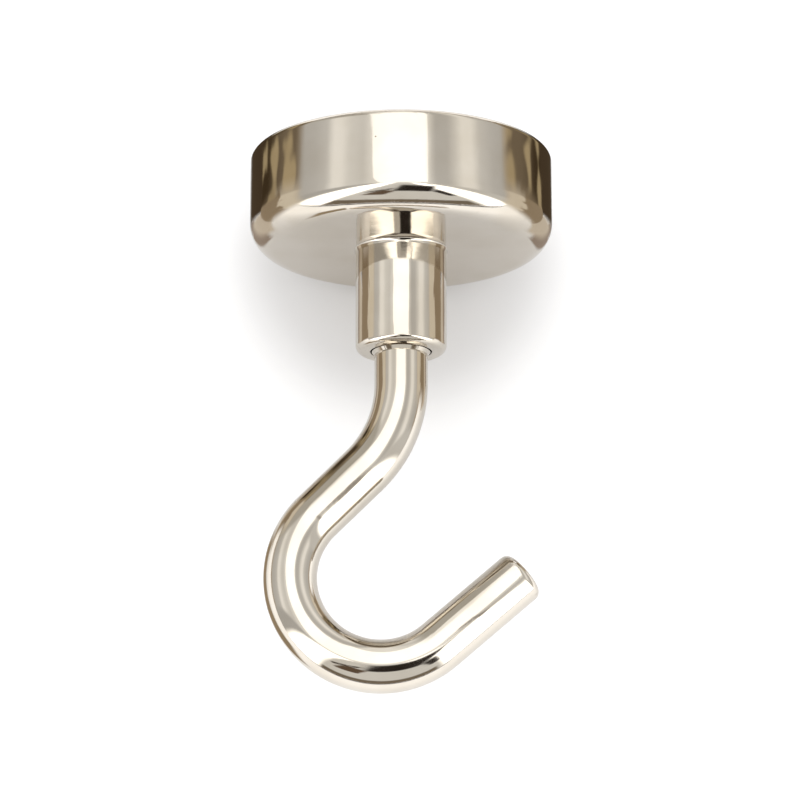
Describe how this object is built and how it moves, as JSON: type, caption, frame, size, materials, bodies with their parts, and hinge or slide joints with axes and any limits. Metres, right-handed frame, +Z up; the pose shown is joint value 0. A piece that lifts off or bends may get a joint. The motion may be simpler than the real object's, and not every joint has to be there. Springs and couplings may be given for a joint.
{
  "type": "magnetic hook",
  "caption": "Pot magnet with a threaded bushing on its back and a bent wire hook screwed into it, for hanging small things from steel.",
  "frame": {"origin": "centre of the magnet's working face", "axes": "+Y out of the magnet's working face, along the hook's axis; the bent wire lies in the XY plane with its open side towards +X; +Z is up with the hook on its side, as pictured"},
  "size_m": [0.02, 0.0363, 0.02],
  "materials": {
    "bright_nickel_cup": "bright nickel plate on drawn steel",
    "satin_nickel_magnet": "satin nickel plate on a sintered magnet",
    "grey_resin": "cured casting resin",
    "bright_nickel_bushing": "bright nickel plate on turned steel",
    "bright_nickel_wire": "bright nickel plate on drawn steel wire"
  },
  "bodies": {
    "pot": {"steel_cup": "bright_nickel_cup", "magnet_disc": "satin_nickel_magnet", "resin_ring": "grey_resin", "threaded_bushing": "bright_nickel_bushing"},
    "thread": {"hook_thread": "bright_nickel_wire"},
    "hook": {"hook_wire": "bright_nickel_wire"}
  },
  "joints": [
    {"name": "hook_travel", "type": "slide", "parent": "pot", "child": "thread", "axis": [0, -1, 0], "range_m": [0, 0.00315]},
    {"name": "hook_turn", "type": "hinge", "parent": "thread", "child": "hook", "pos_m": [0, -0.0135, 0], "axis": [0, -1, 0], "range_deg": [0, 1620]}
  ],
  "couplings": [
    {"joint": "hook_travel", "follows": "hook_turn", "m_per_rad": 0.00011141}
  ]
}
